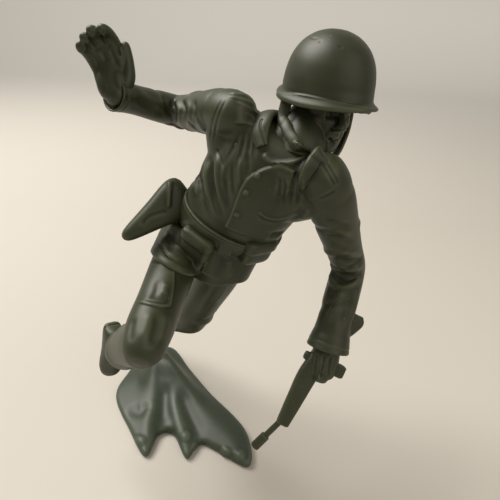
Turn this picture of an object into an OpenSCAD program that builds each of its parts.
// Running toy soldier on a lobed ground base, moulded in olive plastic.
// The frame stands on the base: origin at the middle of its underside, +Z up, the chest towards -Y.

/* [Base] */
// Width of the ground base from side to side
base_w = 64; // [60:1:70]
// Depth of the ground base from front to back
base_d = 63; // [59:1:69]
// Thickness of the base at its rim
base_rim_h = 3.5; // [2.5:0.5:5]
// Height of the hill under the standing foot
hill_h = 15; // [13:0.5:17]
// Height of the ridges that run out into the lobes
ridge_h = 3; // [1:0.5:4]

/* [Legs] */
// Length of the shin from ankle to knee
shin_len = 38.5; // [36:0.5:41]
// Length of the thigh from knee to hip
thigh_len = 39; // [37:0.5:41]
// Spacing of the two hip joints
hip_span = 16; // [15:0.5:17]
// Width of the trouser leg at the hip
thigh_w = 14.5; // [13.5:0.5:15.5]
// Width of the trouser leg at the knee
knee_w = 13; // [12:0.5:14]
// Width of the trouser leg at its hem
hem_w = 11; // [10.2:0.2:11.8]
// Length of a boot from heel to toe
boot_len = 23; // [22:0.5:25]
// Width of a boot across the ball of the foot
boot_w = 8.6; // [8:0.2:9.4]
// Height of the instep above the sole
boot_h = 8.5; // [7.5:0.5:9.5]
// Width of the boot's shaft above the ankle
boot_shaft_w = 9; // [8:0.2:9.8]

/* [Trunk] */
// Height of the belt above the hips
waist_rise = 9.5; // [8.5:0.5:10.5]
// Length of the jacket from belt to neck
trunk_len = 32.5; // [31:0.5:34]
// Sway of the belt to the figure's left of its hips
waist_sway = 1.8; // [1.4:0.1:2.2]
// Width of the jacket across the chest
chest_w = 29.5; // [28.5:0.5:30.5]
// Depth of the jacket from chest to back
chest_d = 21; // [19:0.5:23]
// Width of the jacket at the belt
waist_w = 28.5; // [27.5:0.5:29.5]
// Depth of the jacket at the belt
waist_d = 20; // [19:0.5:21]
// Spacing of the two shoulder joints
shoulder_span = 36; // [34:0.5:38]
// Length of the skirt of the jacket below the belt
skirt_len = 12; // [11.5:0.5:13.5]
// Width of the skirt at its hem
skirt_w = 34; // [32.5:0.5:35.5]
// Depth of the skirt at its hem
skirt_d = 25; // [24:0.5:26.5]
// Height of the belt
belt_h = 6; // [5:0.5:6.5]
// Amount by which the belt stands out from the jacket
belt_t = 1; // [0.6:0.1:1.4]
// Width of the belt's buckle
buckle_w = 4.5; // [4:0.5:5.5]
// Amount by which the buckle stands out from the belt
buckle_t = 0.8; // [0.5:0.1:1.2]
// Width of an ammunition pouch
pouch_w = 10; // [9:0.5:11]
// Height of an ammunition pouch
pouch_h = 9; // [8:0.5:10]
// Depth of an ammunition pouch
pouch_t = 4; // [3.5:0.5:5]
// Length of the holster
holster_len = 22; // [21:0.5:23]
// Width of the holster at its mouth
holster_w = 15; // [14:0.5:16]
// Depth of the holster
holster_t = 6.5; // [5.5:0.5:7.5]
// Height of the collar
collar_h = 9; // [8:0.5:10]
// Width of a collar leaf
leaf_w = 6; // [5:0.5:7]
// Thickness of a collar leaf
leaf_t = 1.2; // [0.8:0.1:1.6]

/* [Arms] */
// Length of the upper arm from shoulder to elbow
upper_arm_len = 29; // [27:0.5:31]
// Length of the forearm from elbow to wrist
forearm_len = 24; // [23:0.5:25]
// Width of the sleeve at the shoulder
sleeve_w = 12.5; // [11.5:0.5:13.5]
// Width of the sleeve at the elbow
elbow_w = 9.6; // [9:0.2:10.4]
// Width of the raised right sleeve at its cuff
r_cuff_w = 9.4; // [9:0.2:10.2]
// Width of the lowered left sleeve at its cuff
l_cuff_w = 11.6; // [10.8:0.2:12.2]
// Wall of the open cuff
cuff_wall = 1; // [0.8:0.1:1.3]
// Depth of the open cuff
cuff_depth = 2; // [1:0.5:3]
// Length of the hand from wrist to fingertips
hand_len = 17; // [16:0.5:18]
// Width of the palm
palm_w = 8.6; // [8.2:0.2:9.2]
// Thickness of the palm
palm_t = 4.4; // [3.8:0.2:5]
// Thickness of a finger
finger_d = 2.6; // [2.4:0.1:2.8]

/* [Head] */
// Height of the head from chin to crown
head_h = 20.5; // [20:0.5:21.5]
// Width of the head
head_w = 14.5; // [14:0.5:15.5]
// Depth of the head from brow to back
head_d = 17; // [16.5:0.5:18]
// Width of the neck
neck_w = 11.5; // [11:0.5:12]
// Distance from the root of the neck to the middle of the head
neck_len = 18; // [17:0.5:19]
// Width of the helmet across its rim
helmet_w = 23.5; // [23:0.5:24.5]
// Length of the helmet along its rim
helmet_l = 26.5; // [26:0.5:27.5]
// Height of the helmet above its rim
helmet_h = 16; // [15.5:0.5:17]
// Wall of the helmet
helmet_wall = 1.2; // [0.8:0.1:1.5]
// Height of the liner band inside the helmet
liner_h = 5; // [4:0.5:6]
// Width of the chin strap
strap_w = 2.2; // [1.8:0.1:2.8]
// Thickness of the chin strap
strap_t = 1.6; // [1.2:0.1:2]

/* [Carbine] */
// Length of the carbine from butt to muzzle
carbine_len = 50; // [48:1:52]
// Diameter of the barrel
barrel_d = 1.8; // [1.6:0.1:2.2]
// Diameter of the muzzle band with the front sight
muzzle_d = 2.8; // [2.4:0.1:3.2]
// Length of the muzzle band
muzzle_len = 5; // [4:0.5:6]
// Height of the stock at the butt
butt_h = 9; // [8:0.5:10]
// Thickness of the stock
stock_t = 3.6; // [3.2:0.2:4.2]
// Length of the magazine below the stock
magazine_len = 7; // [5:0.5:9]
// Width of the magazine along the carbine
magazine_w = 4; // [3:0.5:5]

/* [Fits] */
// Gap between a plug and its socket
clearance = 0.1; // [0.05:0.05:0.2]

/* [Hidden] */

olive = "darkolivegreen";
limb_sides = 14;
finger_sides = 8;
barrel_sides = 24;
row_steps = 1;

// Points one step along an azimuth from +X and an elevation from the ground, in degrees
function heading(az, el) = [cos(el) * cos(az), cos(el) * sin(az), sin(el)];
function unit(v) = v / norm(v);
// The part of v that is square to an axis
function square_to(v, axis) = unit(v - (v * axis) * axis);
function mix(a, b, t) = a + (b - a) * t;
// Pose of the figure: azimuth and elevation of each bone, in degrees
l_shin_dir = heading(-47, 32);
l_thigh_dir = heading(-36, 62);
l_toe_dir = heading(-50, -48);
pelvis_left = heading(-15, -8);
r_thigh_dir = heading(-98, -18);
r_shin_dir = heading(127, -42);
r_toe_dir = heading(-165, -82);
pelvis_up = heading(-38, 70);
trunk_up = heading(-38, 59);
shoulder_left = heading(-30, -25);
neck_dir = heading(20, 44);
head_up = heading(0, 81);
face_dir = heading(-62, -6);
r_upper_arm_dir = heading(124, -10);
r_forearm_dir = heading(-126, 18);
r_hand_dir = heading(116, 66);
l_upper_arm_dir = heading(39, -62);
l_forearm_dir = heading(-114, -60);
holster_dir = heading(-148, -28);
carbine_dir = heading(-130, -52);
barrel_dir = heading(-158, -46);
up = [0, 0, 1];

// The standing ankle, from the middle of the base and above the top of the hill
stand_x_share = -0.52;
stand_y_share = 0.66;
ankle_rise_share = 0.66;
l_ankle = [base_w / 2 * stand_x_share, base_d / 2 * stand_y_share, hill_h + boot_len * ankle_rise_share];

// Joints of the skeleton, from the standing ankle upwards
l_knee = l_ankle + l_shin_dir * shin_len;
l_hip = l_knee + l_thigh_dir * thigh_len;
r_hip = l_hip - pelvis_left * hip_span;
hip_mid = (l_hip + r_hip) / 2;
r_knee = r_hip + r_thigh_dir * thigh_len;
r_ankle = r_knee + r_shin_dir * shin_len;
waist = hip_mid + trunk_up * waist_rise + pelvis_left * waist_sway;
neck_root = waist + trunk_up * trunk_len;
shoulder_share = 1.03;
shoulder_mid = waist + trunk_up * trunk_len * shoulder_share;
r_shoulder = shoulder_mid - shoulder_left * shoulder_span / 2;
l_shoulder = shoulder_mid + shoulder_left * shoulder_span / 2;
r_elbow = r_shoulder + r_upper_arm_dir * upper_arm_len;
r_wrist = r_elbow + r_forearm_dir * forearm_len;
l_elbow = l_shoulder + l_upper_arm_dir * upper_arm_len;
l_wrist = l_elbow + l_forearm_dir * forearm_len;
head_mid = neck_root + neck_dir * neck_len;
pelvis_front = unit(cross(pelvis_left, pelvis_up));
pelvis_side = cross(pelvis_up, pelvis_front);
chest_front = unit(cross(shoulder_left, trunk_up));

// One closed faceted skin round everything inside it
module skin() resize([0, 0, 0]) union() children();

// A local frame with x to the figure's left, y to the back and z up
module in_frame(origin, z, front) {
    y = -square_to(front, z);
    x = cross(y, z);
    multmatrix([
        [x.x, y.x, z.x, origin.x],
        [x.y, y.y, z.y, origin.y],
        [x.z, y.z, z.z, origin.z]])
        children();
}

// Smooth curve through rows of equal length, with steps points from each row to the next
function curve_point(a, b, c, d, t) =
    b + (c - a) * t / 2
    + (a * 2 - b * 5 + c * 4 - d) * t * t / 2
    + (b * 3 - a - c * 3 + d) * t * t * t / 2;
function smooth(rows, steps = row_steps) = concat(
    [for (i = [0:len(rows) - 2], j = [0:steps - 1])
        curve_point(rows[max(i - 1, 0)], rows[i], rows[i + 1], rows[min(i + 2, len(rows) - 1)], j / steps)],
    [rows[len(rows) - 1]]);
function smooth_closed(rows, steps) = let (n = len(rows))
    [for (i = [0:n - 1], j = [0:steps - 1])
        curve_point(rows[(i + n - 1) % n], rows[i], rows[(i + 1) % n], rows[(i + 2) % n], j / steps)];

// Skin over rings of equal count: sides in triangles, the first and the last ring closed flat
module loft(rings) {
    n = len(rings[0]);
    last = len(rings) - 1;
    points = [for (ring = rings, p = ring) p];
    sides = [for (i = [0:last - 1], k = [0:n - 1], half = [0, 1])
        let (a = i * n + k, b = i * n + (k + 1) % n)
        half == 0 ? [a, a + n, b + n] : [a, b + n, b]];
    caps = [[for (k = [0:n - 1]) k], [for (k = [n - 1:-1:0]) last * n + k]];
    polyhedron(points, concat(sides, caps));
}

// Oval ring square to an axis; front is the direction of its depth
function oval(mid, axis, front, w, d, n) =
    let (f = square_to(front, axis), s = cross(f, axis))
    [for (k = [0:n - 1]) mid + s * (w / 2 * cos(360 * k / n)) + f * (d / 2 * sin(360 * k / n))];

// Limb from a to b: its rows hold the place along the bone, the width and the depth as shares
// of the width between w0 at a and w1 at b, and a shift to the front as a share of that width
module limb(a, b, front, w0, w1, shares, n = limb_sides, steps = row_steps) {
    axis = unit(b - a);
    f = square_to(front, axis);
    loft([for (row = smooth(shares, steps))
        let (w = mix(w0, w1, max(0, min(1, row[0]))))
        oval(a + (b - a) * row[0] + f * w * row[3], axis, front, w * row[1], w * row[2], n)]);
}

// Strip along a smooth path: its rows hold a point, a width and a thickness,
// and its flat side turns away from the point inside
module strip(rows, inside, n, steps) {
    path = [for (row = smooth(rows, steps)) [[row[0], row[1], row[2]], row[3], row[4]]];
    last = len(path) - 1;
    loft([for (i = [0:last])
        oval(path[i][0], unit(path[min(i + 1, last)][0] - path[max(i - 1, 0)][0]), path[i][0] - inside,
            path[i][1], path[i][2], n)]);
}
function strip_row(p, w, t) = [p.x, p.y, p.z, w, t];

// Base

// Outline of the base, as shares of its half width and half depth, anticlockwise from the left corner
base_outline_shares = [[-0.92, -0.04], [-0.6, -0.56], [-0.3, -0.94], [-0.2, -0.62], [-0.02, -0.6],
    [0.2, -0.94], [0.33, -0.72], [0.55, -0.8], [0.97, -1], [0.9, -0.5], [0.4, 0.06], [0.04, 0.52],
    [-0.32, 0.98], [-0.72, 0.84], [-0.86, 0.4]];
// Rows from the rim to the top of the hill: reach from the hill's middle and height above the rim
hill_shares = [[1, 0], [0.9, 0.06], [0.72, 0.16], [0.54, 0.32], [0.37, 0.6], [0.22, 0.92], [0.1, 1]];
outline_steps = 3;
hill_top = [l_ankle.x, l_ankle.y, 0] + [l_toe_dir.x, l_toe_dir.y, 0] * boot_len / 4;

module base_form() {
    outline = [for (p = smooth_closed(base_outline_shares, outline_steps))
        [p.x * base_w / 2, p.y * base_d / 2, 0]];
    reach = [for (p = outline) norm(p - hill_top)];
    mean_reach = reach * [for (p = outline) 1] / len(outline);
    foot = [outline, [for (p = outline) p + up * base_rim_h / 2]];
    hill = [for (row = smooth(hill_shares))
        let (crest = 4 * row[0] * (1 - row[0]))
        [for (k = [0:len(outline) - 1])
            mix(hill_top, outline[k], row[0])
            + up * (base_rim_h + (hill_h - base_rim_h) * row[1]
                + ridge_h * crest * (reach[k] / mean_reach - 1))]];
    loft(concat(foot, hill));
}

module base() color("darkslategray") skin() difference() {
    base_form();
    left_boot_form();
}

// Boots

// Rows along the sole from heel to toe: place from the ankle, width, height
sole_shares = [[-0.3, 0.3, 0.5], [-0.28, 0.62, 0.75], [-0.2, 0.8, 0.95], [0, 0.84, 1], [0.18, 0.88, 0.86],
    [0.42, 1, 0.64], [0.58, 0.94, 0.54], [0.68, 0.66, 0.44], [0.71, 0.3, 0.26]];
shaft_shares = [[-0.06, 0.7, 0.8, 0], [0, 0.9, 1, 0], [0.2, 0.98, 1.04, 0], [0.55, 1.08, 1.12, 0],
    [0.62, 1, 1, 0]];
// Flat of the sole and fullness of the upper, as shares of the height of a row
sole_flat_share = 0.36;

module boot_form(ankle, knee, toe_dir) {
    rise = square_to(knee - ankle, toe_dir);
    side = cross(rise, toe_dir);
    loft([for (row = smooth(sole_shares))
        [for (k = [0:limb_sides - 1])
            let (a = 360 * k / limb_sides,
                h = max(0, sole_flat_share + (1 - sole_flat_share) * sin(a)))
            ankle + toe_dir * boot_len * row[0] - rise * boot_h
                + side * (boot_w / 2 * row[1] * cos(a)) + rise * (boot_h * row[2] * h)]]);
    limb(ankle, knee, toe_dir, boot_shaft_w, boot_shaft_w, shaft_shares);
}

module left_boot_form() boot_form(l_ankle, l_knee, l_toe_dir);
module right_boot_form() boot_form(r_ankle, r_knee, r_toe_dir);
module left_boot() color(olive) skin() left_boot_form();
module right_boot() color(olive) skin() right_boot_form();

// Trousers

thigh_shares = [[-0.17, 0.5, 0.5, 0], [-0.12, 0.8, 0.8, 0], [0, 0.98, 1, 0], [0.3, 1.02, 1.06, 0.02],
    [0.65, 1, 1.02, 0.02], [0.9, 1.02, 1.02, 0.03], [1.08, 0.86, 0.88, 0.02], [1.17, 0.5, 0.52, 0]];
calf_shares = [[-0.14, 0.55, 0.6, 0.02], [-0.08, 0.85, 0.9, 0.03], [0.04, 1, 1.02, 0.02],
    [0.3, 1.04, 1.1, -0.04], [0.5, 1.06, 1.08, -0.03], [0.62, 1.12, 1.12, 0], [0.66, 1, 1, 0]];

module left_leg_form() {
    limb(l_hip, l_knee, face_dir, thigh_w, knee_w, thigh_shares);
    limb(l_knee, l_ankle, face_dir, knee_w, hem_w, calf_shares);
}

module right_leg_form() {
    limb(r_hip, r_knee, up, thigh_w, knee_w, thigh_shares);
    limb(r_knee, r_ankle, r_thigh_dir, knee_w, hem_w, calf_shares);
}

module left_trouser_leg() color(olive) skin() difference() {
    left_leg_form();
    left_boot_form();
    jacket_form();
}

module right_trouser_leg() color(olive) skin() difference() {
    right_leg_form();
    right_boot_form();
    left_leg_form();
    jacket_form();
}

// Jacket

trunk_sides = 28;
// Rows from inside the skirt to the neck: place, width and depth as shares of the jacket there, and
// shift to the front as a share of the chest
trunk_shares = [[-0.08, 0.83, 0.86, 0], [0.03, 0.94, 0.97, 0], [0.14, 0.99, 1.02, 0.02], [0.42, 1.02, 1.05, 0.04],
    [0.7, 1.04, 1.02, 0.03], [0.9, 1.02, 0.92, 0], [1.04, 0.92, 0.78, -0.02], [1.14, 0.68, 0.62, -0.04],
    [1.2, 0.4, 0.42, -0.05]];
// Place where the jacket has grown from its size at the belt to that of the chest
chest_place_share = 0.42;
// Rows of the shoulder from inside the chest to the armhole, as on a limb
cap_shares = [[-0.4, 0.4, 0.4, 0], [-0.32, 0.8, 0.8, 0], [-0.18, 1, 1, 0], [-0.08, 1.05, 1.05, 0],
    [0.03, 1.06, 1.06, 0]];
// Rows from under the belt to the hem: place, and how far the widening has gone
skirt_shares = [[-0.1, 0], [0.3, 0.55], [0.65, 0.85], [1, 1]];
// Hem overhang, and the fold waves round the hem, as shares of the skirt
overhang_share = 0.25;
fold_share = 0.035;
fold_count = 7;
// Cover of the lifted thigh: place along the bone, width, depth and shift up
cover_shares = [[-0.1, 0.7, 0.7, 0.05], [0.05, 1.04, 1.04, 0.06], [0.25, 1.1, 1.08, 0.08],
    [0.42, 1.16, 1.12, 0.09]];

module jacket_form() {
    loft([for (row = smooth(trunk_shares))
        let (u = max(0, min(1, row[0])), front = mix(pelvis_front, chest_front, u))
        let (grown = min(1, u / chest_place_share), w = mix(waist_w, chest_w, grown))
        oval(waist + trunk_up * trunk_len * row[0] + front * chest_d * row[3],
            unit(mix(pelvis_up, trunk_up, u)), front, w * row[1], mix(waist_d, chest_d, grown) * row[2],
            trunk_sides)]);
    limb(r_shoulder, r_elbow, up, sleeve_w, elbow_w, cap_shares);
    limb(l_shoulder, l_elbow, up, sleeve_w, elbow_w, cap_shares);
}

function skirt_ring(drop, spread, shrink) =
    let (w = mix(waist_w, skirt_w, spread) / 2 - shrink, d = mix(waist_d, skirt_d, spread) / 2 - shrink)
    [for (k = [0:trunk_sides - 1])
        let (a = 360 * k / trunk_sides, wave = 1 + fold_share * spread * cos(fold_count * a))
        waist - pelvis_up * drop - pelvis_side * (w * wave * cos(a)) + pelvis_front * (d * wave * sin(a))];

module skirt_form() {
    wall = skirt_len * overhang_share / 2;
    outer = [for (row = smooth(skirt_shares)) skirt_ring(skirt_len * row[0], row[1], 0)];
    last = len(outer) - 1;
    loft(concat(
        [skirt_ring(skirt_len * (1 - overhang_share), 1, wall), skirt_ring(skirt_len, 1, wall)],
        [for (i = [last:-1:0]) outer[i]]));
    limb(r_hip, r_knee, up, thigh_w, knee_w, cover_shares);
}

module jacket_skirt() color(olive) skin() difference() {
    skirt_form();
    jacket_form();
    belt_form();
    left_leg_form();
    right_leg_form();
}

module jacket() color(olive) skin() difference() {
    jacket_form();
    neck_form();
}

// Collar: a band round the neck that flares, and a leaf at each side of the opening
collar_shares = [[-0.4, 1.06, 1.06, 0], [0.2, 1.2, 1.24, 0.02], [0.7, 1.34, 1.4, 0.03],
    [1, 1.3, 1.36, 0.02]];
// Rows of a leaf: to the left, to the front and up from the root of the neck as shares of the neck's
// width, then the leaf's width as a share
left_leaf_shares = [[0.5, -0.4, 0.6, 0.8], [0.76, 0, 0.9, 1], [0.9, 0.36, 1, 1], [0.94, 0.6, 0.74, 1],
    [1.08, 0.62, 0.3, 0.15]];
right_leaf_shares = [[-0.5, -0.5, 0.7, 0.8], [-0.65, -0.1, 0.6, 1], [-0.5, 0.3, 0.5, 1],
    [-0.14, 0.54, 0.34, 0.5]];
chest_side = cross(trunk_up, chest_front);

module leaf_form(shares) strip([for (row = shares)
    strip_row(neck_root + (chest_side * row[0] + chest_front * row[1] + trunk_up * row[2]) * neck_w,
        leaf_w * row[3], 2 * leaf_t)], neck_root, finger_sides, 2);

module collar_form() {
    limb(neck_root, neck_root + neck_dir * collar_h, chest_front, neck_w, neck_w, collar_shares);
    leaf_form(left_leaf_shares);
    leaf_form(right_leaf_shares);
}

module collar() color(olive) skin() difference() {
    collar_form();
    jacket_form();
    neck_form();
    head_form();
    chin_strap_form();
}

// Belt and what hangs on it

// Point on the waist at an angle from the left side through the front, out from it and down from it
function belt_point(angle, out, drop) =
    waist - pelvis_up * drop
    + pelvis_side * ((waist_w / 2 + out) * cos(angle))
    + pelvis_front * ((waist_d / 2 + out) * sin(angle));
left_pouch_angle = 38;
holster_angle = 178;
buckle_angle = 76;
// The right pouch sits next to the buckle
right_pouch_angle = buckle_angle + (buckle_w + pouch_w) / 2 / waist_w * 360 / PI;
// Drops of the pouches' middles below the belt, as shares of a pouch
right_pouch_drop_share = 0.25;
left_pouch_drop_share = -0.1;
buckle_h_share = 0.7;
belt_edge_shares = [0, 0.5, 1];

module belt_form() {
    w_share = (waist_w + 2 * belt_t) / waist_w;
    d_share = (waist_d + 2 * belt_t) / waist_w;
    limb(waist, waist + pelvis_up * belt_h, pelvis_front, waist_w, waist_w,
        [for (share = belt_edge_shares) [share, w_share, d_share, 0]], trunk_sides);
}

module belt() color(olive) skin() difference() {
    belt_form();
    jacket_form();
}

function outward(angle) = cos(angle) * pelvis_side + sin(angle) * pelvis_front;

module buckle_form() in_frame(belt_point(buckle_angle, 0, -belt_h / 2), pelvis_up, outward(buckle_angle))
    cube([buckle_w, 2 * (belt_t + buckle_t), belt_h * buckle_h_share], center = true);

module belt_buckle() color(olive) skin() difference() {
    buckle_form();
    belt_form();
    jacket_form();
}

// Pouch: a rounded box with a flap over its upper half
pouch_round_share = 0.16;
flap_share = 0.45;
flap_lip_share = 0.05;

module pouch_form(angle, drop_share) {
    round_r = pouch_w * pouch_round_share;
    lip = pouch_w * flap_lip_share;
    in_frame(belt_point(angle, 0, pouch_h * drop_share), pelvis_up, outward(angle)) {
        pouch_box(pouch_w, pouch_h, 2 * pouch_t, round_r);
        translate(up * (pouch_h * (1 - flap_share) / 2 + lip))
            pouch_box(pouch_w + 2 * lip, pouch_h * flap_share, 2 * (pouch_t + lip), round_r);
    }
}

module pouch_box(w, h, t, round_r) hull() for (x = [-1, 1], y = [-1, 1], z = [-1, 1])
    translate([x * (w / 2 - round_r), y * (t / 2 - round_r), z * (h / 2 - round_r)])
        sphere(round_r, $fn = finger_sides);

module pouch(angle, drop_share) color(olive) skin() difference() {
    pouch_form(angle, drop_share);
    belt_form();
    jacket_form();
    skirt_form();
    right_leg_form();
    left_leg_form();
}

module right_ammo_pouch() pouch(right_pouch_angle, right_pouch_drop_share);
module left_ammo_pouch() pouch(left_pouch_angle, left_pouch_drop_share);

// Rows of the holster from its mouth to its tip, as on a limb
holster_shares = [[-0.06, 0.7, 0.7, 0], [0, 0.95, 0.95, 0], [0.15, 1, 1.1, 0], [0.5, 0.68, 1, 0],
    [0.85, 0.4, 0.75, 0], [1, 0.2, 0.45, 0]];
holster_out_share = 0.1;
holster_rise_share = 0.34;

module holster_form() {
    root = belt_point(holster_angle, holster_t * holster_out_share, -holster_w * holster_rise_share);
    limb(root, root + holster_dir * holster_len, pelvis_front, holster_w, holster_w,
        [for (row = holster_shares) [row[0], row[1], row[2] * holster_t / holster_w, row[3]]]);
}

module holster() color(olive) skin() difference() {
    holster_form();
    belt_form();
    jacket_form();
    skirt_form();
    right_leg_form();
}

// Sleeves

upper_arm_shares = [[-0.1, 0.8, 0.8, 0], [0.07, 1, 1, 0], [0.35, 0.98, 1, 0], [0.7, 0.96, 0.98, 0],
    [0.95, 1, 1, 0], [1.1, 0.84, 0.86, 0], [1.18, 0.5, 0.5, 0]];
forearm_shares = [[-0.2, 0.5, 0.5, 0], [-0.1, 0.86, 0.86, 0], [0.05, 1, 1, 0], [0.35, 1, 1.02, 0],
    [0.7, 0.94, 0.96, 0], [0.9, 1, 1, 0], [0.98, 1.1, 1.1, 0], [1, 1.06, 1.06, 0]];
cuff_shares = [[0, 1, 1, 0], [1, 1, 1, 0]];

module sleeve_form(shoulder, elbow, wrist, cuff_w) {
    limb(shoulder, elbow, up, sleeve_w, elbow_w, upper_arm_shares);
    limb(elbow, wrist, up, elbow_w, cuff_w, forearm_shares);
}

module right_sleeve_form() sleeve_form(r_shoulder, r_elbow, r_wrist, r_cuff_w);
module left_sleeve_form() sleeve_form(l_shoulder, l_elbow, l_wrist, l_cuff_w);

module cuff_hollow(wrist, dir, cuff_w) {
    hollow_w = cuff_w - 2 * cuff_wall;
    limb(wrist - dir * cuff_depth, wrist + dir * cuff_depth, up, hollow_w, hollow_w, cuff_shares);
}

module right_sleeve() color(olive) skin() difference() {
    right_sleeve_form();
    jacket_form();
    cuff_hollow(r_wrist, r_forearm_dir, r_cuff_w);
    right_hand_form();
}

module left_sleeve() color(olive) skin() difference() {
    left_sleeve_form();
    jacket_form();
    cuff_hollow(l_wrist, l_forearm_dir, l_cuff_w);
    left_hand_form();
    carbine_form();
}

// Hands

hand_sides = 12;
// Wrist in the cuff and palm, as on a limb
wrist_shares = [[0, 0.66, 1.3, 0], [0.55, 0.7, 1.3, 0], [1, 0.82, 1.1, 0]];
palm_shares = [[-0.16, 0.5, 0.9, 0], [0.05, 0.8, 1.1, 0], [0.5, 1, 1.1, 0], [0.9, 1, 0.9, 0],
    [1.04, 0.8, 0.5, 0]];
palm_len_share = 0.52;
// Fingers from the little finger to the index: reach, and place across the palm
finger_reach_shares = [0.74, 0.96, 1.06, 0.98];
finger_place_shares = [-0.38, -0.13, 0.13, 0.38];
knuckle_share = 0.88;
// Knots of a finger: along it, towards the palm, and thickness
finger_shares = [[-0.2, 0, 1], [0.3, 0.04, 1], [0.68, 0.24, 0.96], [0.9, 0.56, 0.84], [0.92, 0.72, 0.5]];
// Knots of the thumb: along the palm, to its side, and thickness
thumb_shares = [[0.1, 0.2, 1.1], [0.4, 0.56, 1.2], [0.8, 0.66, 1.05], [1.12, 0.62, 0.9], [1.22, 0.6, 0.45]];
finger_fan = 2;

module open_hand_form(wrist, arm_dir, dir, palm_out) {
    palm_len = hand_len * palm_len_share;
    side = cross(dir, palm_out);
    heel = wrist + arm_dir * cuff_depth / 2;
    limb(wrist - arm_dir * 2 * cuff_depth, heel, palm_out, palm_t, palm_t, wrist_shares, hand_sides);
    limb(heel, heel + dir * palm_len, palm_out, palm_w, palm_w,
        [for (row = palm_shares) [row[0], row[1], row[2] * palm_t / palm_w, row[3]]], hand_sides);
    for (i = [0:3]) {
        lean = unit(dir + side * tan(finger_fan * (2 * i - 3)));
        knuckle = heel + dir * palm_len * knuckle_share + side * palm_w * finger_place_shares[i];
        reach = (hand_len - palm_len) * finger_reach_shares[i];
        strip([for (row = finger_shares)
            strip_row(knuckle + lean * reach * row[0] + palm_out * reach * row[1],
                finger_d * row[2], finger_d * row[2])],
            knuckle + side * hand_len, finger_sides, 1);
    }
    strip([for (row = thumb_shares)
        strip_row(heel + dir * palm_len * row[0] + side * palm_w * row[1],
            finger_d * row[2], finger_d * row[2])],
        heel + palm_out * hand_len, finger_sides, 1);
}

r_palm_out = square_to(heading(-84, 12), r_hand_dir);
module right_hand_form() open_hand_form(r_wrist, r_forearm_dir, r_hand_dir, r_palm_out);
module right_hand() color(olive) skin() right_hand_form();

// The closed hand goes round the carbine where the line of the forearm meets it
grip_reach_share = 0.5;
grip = l_wrist + l_forearm_dir * (cuff_depth + palm_w * grip_reach_share);
carbine_down = square_to(heading(-10, -20), carbine_dir);
fist_shares = [[0, 0.62, 0.62, 0], [0.5, 0.9, 0.8, 0], [0.9, 1, 0.9, 0], [1.25, 0.9, 0.8, 0],
    [1.4, 0.5, 0.5, 0]];
// The stock lies beside the line of the forearm, and the fingers wrap round its far side
stock_off_share = 0.3;
stock_mid = grip - carbine_down * palm_w * stock_off_share;
carbine_side = cross(carbine_dir, -carbine_down);
wrap_turn = [-30:40:210];
wrap_h_share = 0.34;
finger_pitch_share = 0.92;

module left_hand_form() {
    wrap_h = butt_h * wrap_h_share + finger_d / 2;
    wrap_t = (stock_t + finger_d) / 2;
    limb(l_wrist - l_forearm_dir * 2 * cuff_depth, grip, carbine_side, palm_w, palm_w, fist_shares,
        hand_sides);
    for (i = [0:3]) {
        mid = stock_mid + carbine_dir * (2 * i - 3) / 2 * finger_d * finger_pitch_share;
        strip([for (a = wrap_turn)
            strip_row(mid + carbine_down * (wrap_h * cos(a)) + carbine_side * (wrap_t * sin(a)),
                finger_d, finger_d)],
            mid, finger_sides, 1);
    }
}

module left_hand() color(olive) skin() difference() {
    left_hand_form();
    carbine_form();
}

// Head

head_sides = 18;
// Rows from chin to crown: height, width, shift to the face, depth
head_shares = [[-0.52, 0.16, 0.56, 0.12], [-0.5, 0.4, 0.52, 0.28], [-0.44, 0.58, 0.4, 0.46],
    [-0.36, 0.72, 0.26, 0.64], [-0.24, 0.85, 0.12, 0.8], [-0.1, 0.93, 0.04, 0.9], [0.04, 0.96, -0.02, 0.94],
    [0.16, 1, -0.02, 1], [0.3, 0.96, -0.03, 0.97], [0.42, 0.76, -0.03, 0.78], [0.485, 0.45, -0.03, 0.46],
    [0.5, 0.15, -0.03, 0.15]];
neck_shares = [[-0.3, 0.9, 0.96, 0], [0, 1, 1.05, 0], [0.4, 0.96, 1.02, 0], [0.9, 0.9, 0.95, 0]];
// Nose, brows, lips and ears, on the classic thirds of a face, as shares of the head
nose_shares = [[0, 0.3, 0.4, 0], [0.4, 0.55, 0.8, 0.15], [0.85, 1, 1.1, 0.25], [1, 0.5, 0.4, 0.1]];
brow_shares = [[-0.62, 0.7, 0.05], [-0.3, 0.9, 0.07], [0, 0.92, 0.05], [0.3, 0.9, 0.07], [0.62, 0.7, 0.05]];
lip_shares = [for (z = [-0.28, -0.35]) [[-0.26, 0.82, -0.31], [0, 0.92, z], [0.26, 0.82, -0.31]]];
nose_end_shares = [[0, 0.9, 0.03], [0, 1, -0.2]];
ear_end_shares = [[0.9, -0.06, -0.2], [1, -0.12, 0.05]];
ear_shares = [[0, 0.4, 0.6, 0], [0.3, 0.6, 0.9, 0], [0.8, 0.7, 1.1, 0], [1, 0.4, 0.6, 0]];
nose_w_share = 0.2;
feature_d_share = 0.09;

module neck_form() limb(neck_root, head_mid, chest_front, neck_w, neck_w, neck_shares);

// Point on the face: across, forward and up, as shares of the half width, half depth and height
function on_face(p) = [p.x * head_w / 2, -p.y * head_d / 2, p.z * head_h];

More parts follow.
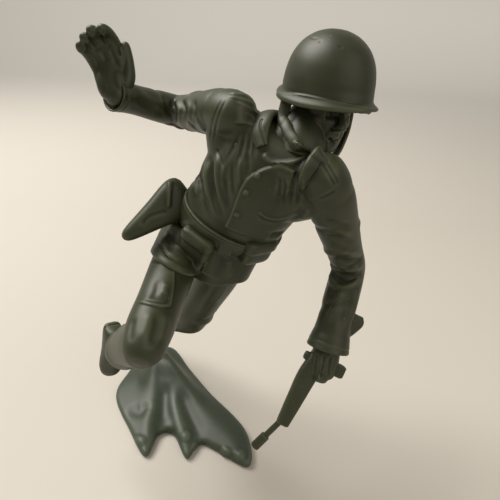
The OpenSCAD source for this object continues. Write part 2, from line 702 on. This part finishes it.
module head_form() in_frame(head_mid, head_up, face_dir) {
    nose_w = head_w * nose_w_share;
    feature_d = head_w * feature_d_share;
    loft([for (row = smooth(head_shares))
        [for (k = [0:head_sides - 1])
            let (a = 360 * k / head_sides)
            on_face([row[1] * cos(a), row[2] - row[3] * sin(a), row[0]])]]);
    limb(on_face(nose_end_shares[0]), on_face(nose_end_shares[1]), [0, -1, 0], nose_w, nose_w, nose_shares,
        finger_sides);
    strip([for (p = brow_shares) strip_row(on_face(p), feature_d, feature_d)], [0, 0, 0], finger_sides, 1);
    for (lip = lip_shares)
        strip([for (p = lip) strip_row(on_face(p), feature_d / 2, feature_d / 2)], [0, 0, 0],
            finger_sides, 1);
    for (side = [-1, 1])
        limb(on_face([side * ear_end_shares[0].x, ear_end_shares[0].y, ear_end_shares[0].z]),
            on_face([side * ear_end_shares[1].x, ear_end_shares[1].y, ear_end_shares[1].z]),
            [0, -1, 0], nose_w, nose_w, ear_shares, finger_sides);
}

module head() color(olive) skin() {
    head_form();
    neck_form();
}

// Helmet

helmet_sides = 24;
// Height of the rim above the middle of the head, and forward set, as shares of the head
seat_share = 0.05;
set_share = 0.02;
helmet_seat = head_h * seat_share;
helmet_set = head_d * set_share;
helmet_inner_share = 1 - 2 * helmet_wall / helmet_w;
// Rows from rim to crown: height, and half width against the rim
dome_shares = [[0, 1], [0.04, 0.975], [0.14, 0.93], [0.35, 0.9], [0.58, 0.8], [0.78, 0.63], [0.92, 0.4],
    [0.985, 0.18], [1, 0.05]];
// The rim dips at the ears and lifts over the brow
rim_wave_share = 0.05;

function helmet_ring(height, spread) =
    let (w = helmet_w / 2 * spread, l = helmet_l / 2 * spread)
    [for (k = [0:helmet_sides - 1])
        let (a = 360 * k / helmet_sides,
            wave = helmet_h * rim_wave_share * pow(max(0, 1 - height / helmet_h), 4))
        [w * cos(a), l * sin(a) - helmet_set, helmet_seat + height - wave * cos(2 * a)]];

module helmet() color(olive) skin() in_frame(head_mid, head_up, face_dir) {
    rows = smooth(dome_shares);
    last = len(rows) - 1;
    inner_h = helmet_h - helmet_wall;
    loft(concat(
        [for (i = [last:-1:0]) helmet_ring(inner_h * rows[i][0], rows[i][1] * helmet_inner_share)],
        [for (row = rows) helmet_ring(helmet_h * row[0], row[1])]));
}

module helmet_liner_form() in_frame(head_mid, head_up, face_dir) {
    spread = dome_shares[3][1] * helmet_inner_share - 2 * clearance / helmet_w;
    loft([for (height = [-helmet_wall, 0, liner_h]) helmet_ring(height, spread)]);
}

module helmet_liner() color(olive) skin() difference() {
    helmet_liner_form();
    head_form();
}

// Chin strap: out of the liner, down clear of the cheeks and under the chin
strap_shares = [[-1.14, 0.1, 0.04], [-1.16, 0.34, -0.08], [-1.08, 0.66, -0.22], [-0.86, 0.86, -0.38],
    [-0.5, 0.88, -0.52], [0, 0.8, -0.58], [0.6, 0.6, -0.53], [1, 0.36, -0.32], [1.16, 0.18, -0.12],
    [1.14, 0.1, 0.04]];

module chin_strap_form() in_frame(head_mid, head_up, face_dir)
    strip([for (p = strap_shares) strip_row(on_face(p), strap_w, strap_t)], [0, 0, 0], finger_sides, 2);

module chin_strap() color(olive) skin() difference() {
    chin_strap_form();
    head_form();
    neck_form();
    helmet_liner_form();
}

// Carbine: x along the barrel to the muzzle, y across, z away from the magazine

grip_share = 0.36;
carbine_butt = stock_mid - carbine_dir * carbine_len * grip_share;
// Outline of the stock from the butt to the fore-end: place along the carbine and height, as shares
stock_outline_shares = [[0, -0.14], [0, -0.8], [0.05, -0.94], [0.2, -0.52], [0.36, -0.36], [0.5, -0.34],
    [0.78, -0.22], [0.78, 0.24], [0.45, 0.3], [0.3, 0.22], [0.1, 0.04]];
// Barrel: where it leaves the fore-end, the height of its axis, and the sight on the muzzle band
barrel_start_share = 0.74;
barrel_z_share = 0.06;
sight_w_share = 0.5;
sight_place_share = 0.7;
// Magazine: place along the carbine, depth in the stock, and thickness against the stock
magazine_place_share = 0.42;
magazine_z_share = 0.25;
magazine_t_share = 0.7;

module in_carbine() multmatrix([
    [carbine_dir.x, -carbine_side.x, -carbine_down.x, carbine_butt.x],
    [carbine_dir.y, -carbine_side.y, -carbine_down.y, carbine_butt.y],
    [carbine_dir.z, -carbine_side.z, -carbine_down.z, carbine_butt.z]])
    children();

module stock_form() in_carbine() rotate([90, 0, 0])
    linear_extrude(stock_t, center = true)
        polygon([for (p = stock_outline_shares) [p.x * carbine_len, p.y * butt_h]]);

// The thin barrel is bent out of line with the stock, as soft plastic bends
barrel_root = carbine_butt + carbine_dir * carbine_len * barrel_start_share
    - carbine_down * butt_h * barrel_z_share;
barrel_len = carbine_len * (1 - barrel_start_share);

module barrel_form() in_frame(barrel_root, barrel_dir, carbine_down) {
    cylinder(d = barrel_d, h = barrel_len, $fn = barrel_sides);
    translate(up * (barrel_len - muzzle_len)) {
        cylinder(d = muzzle_d, h = muzzle_len, $fn = barrel_sides);
        translate([0, muzzle_d / 2, muzzle_len * (1 - sight_place_share)])
            cube(muzzle_d * sight_w_share * [1, 2, 2], center = true);
    }
}

module magazine_form() in_carbine()
    translate([carbine_len * magazine_place_share, 0, -butt_h * magazine_z_share - magazine_len / 2])
        cube([magazine_w, stock_t * magazine_t_share, magazine_len], center = true);

module carbine_form() {
    stock_form();
    barrel_form();
    magazine_form();
}

module carbine_stock() color(olive) difference() {
    stock_form();
    barrel_form();
    magazine_form();
}

module carbine_barrel() color(olive) barrel_form();
module carbine_magazine() color(olive) magazine_form();

base();
left_boot();
right_boot();
left_trouser_leg();
right_trouser_leg();
jacket_skirt();
jacket();
collar();
belt();
belt_buckle();
right_ammo_pouch();
left_ammo_pouch();
holster();
head();
helmet();
helmet_liner();
chin_strap();
right_sleeve();
right_hand();
left_sleeve();
left_hand();
carbine_stock();
carbine_barrel();
carbine_magazine();
